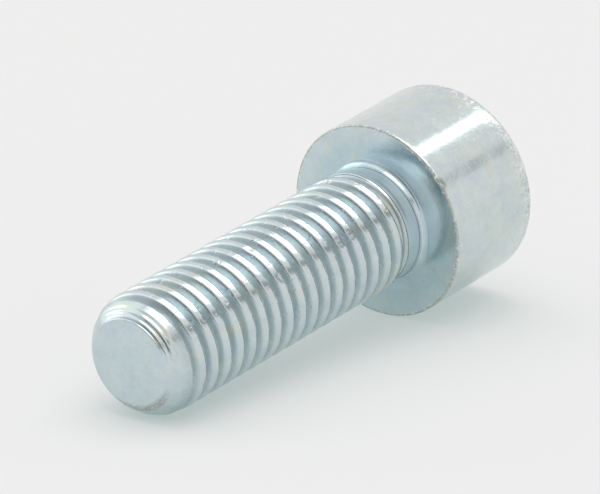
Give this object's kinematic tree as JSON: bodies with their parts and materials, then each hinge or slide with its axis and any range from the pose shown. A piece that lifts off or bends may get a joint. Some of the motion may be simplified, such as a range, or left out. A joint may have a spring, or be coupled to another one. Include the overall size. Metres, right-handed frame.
{
  "type": "hex socket head bolt",
  "caption": "Zinc-plated steel bolt with a plain cylindrical head, a hexagon socket and a coarse metric thread nearly to the head.",
  "frame": {"origin": "centre of the head's top face, on the screw axis; the bolt stands on its head there", "axes": "+Z along the screw axis from the head towards the threaded tip; +X through two opposite corners of the hexagon socket"},
  "size_m": [0.0158, 0.0158, 0.04],
  "materials": {
    "zinc_plated_steel": "bright zinc plate with a pale blue-green passivation, slightly mottled, with fine scuffs"
  },
  "bodies": {
    "root": {"bolt": "zinc_plated_steel"}
  },
  "joints": []
}
